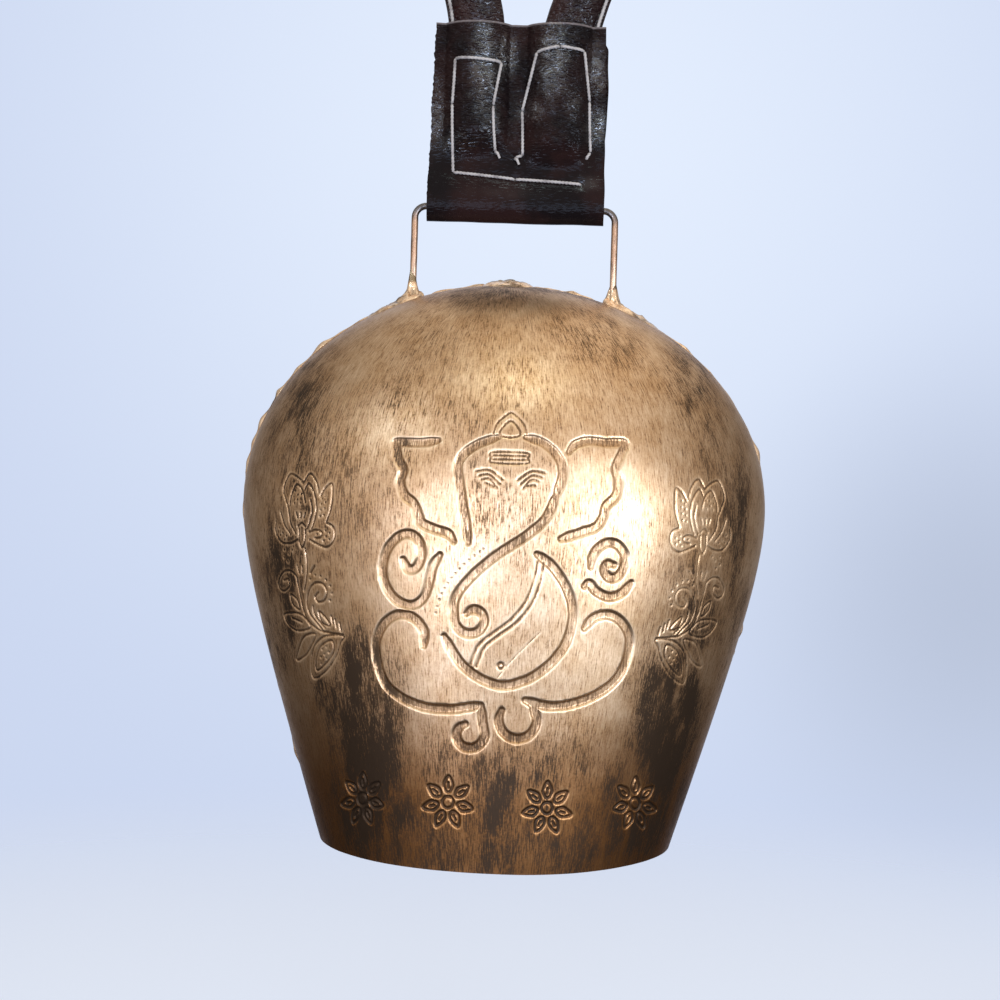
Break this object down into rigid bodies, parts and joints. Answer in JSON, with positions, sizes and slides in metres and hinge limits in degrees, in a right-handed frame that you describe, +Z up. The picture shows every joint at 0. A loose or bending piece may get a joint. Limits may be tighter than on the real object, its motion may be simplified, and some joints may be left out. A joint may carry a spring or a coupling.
{
  "type": "strap-hung sheet-metal bell",
  "caption": "Two-part sheet-metal bell with an oval mouth, wire bail, sewn leather hanging loop and a swinging clapper.",
  "frame": {"origin": "inner top of the strap loop, the point that rests on a hook", "axes": "+Z up along the hanging line; the decorated front of the bell faces -Y and +X is to the right of someone facing it"},
  "size_m": [0.189, 0.1234, 0.4291],
  "materials": {
    "antique_brass": "brushed antique brass with dark patina",
    "bright_braze": "bright coppery braze",
    "bail_wire": "coppered wire, dark at the bends",
    "strap_leather": "glossy dark brown",
    "tab_leather": "glossy dark brown, wrinkled grain",
    "thread": "waxed off-white thread",
    "dark_iron": "dark oxidised iron"
  },
  "bodies": {
    "strap": {"strap_roll": "strap_leather", "leather_tab": "tab_leather", "strap_seam_thread_front": "thread", "strap_seam_thread_back": "thread", "left_tab_thread_front": "thread", "left_tab_thread_back": "thread", "right_tab_thread_front": "thread", "right_tab_thread_back": "thread"},
    "bell": {"front_shell": "antique_brass", "back_shell": "antique_brass", "bail": "bail_wire", "left_foot_braze": "bright_braze", "right_foot_braze": "bright_braze", "left_seam_braze": "bright_braze", "right_seam_braze": "bright_braze", "left_crown_braze": "bright_braze", "right_crown_braze": "bright_braze", "staple_braze": "bright_braze", "clapper_staple": "dark_iron"},
    "clapper_link": {"clapper_link": "dark_iron"},
    "clapper": {"clapper_rod": "dark_iron", "clapper_bob": "dark_iron"}
  },
  "joints": [
    {"name": "bell_swing", "type": "hinge", "parent": "strap", "child": "bell", "pos_m": [0, 0, -0.1832], "axis": [1, 0, 0], "range_deg": [-120, 120]},
    {"name": "link_swing", "type": "hinge", "parent": "bell", "child": "clapper_link", "pos_m": [0, 0, -0.224], "axis": [1, 0, 0], "range_deg": [-12, 12]},
    {"name": "clapper_swing", "type": "hinge", "parent": "clapper_link", "child": "clapper", "pos_m": [0, 0, -0.23425], "axis": [0, 1, 0], "range_deg": [-10, 10]}
  ]
}
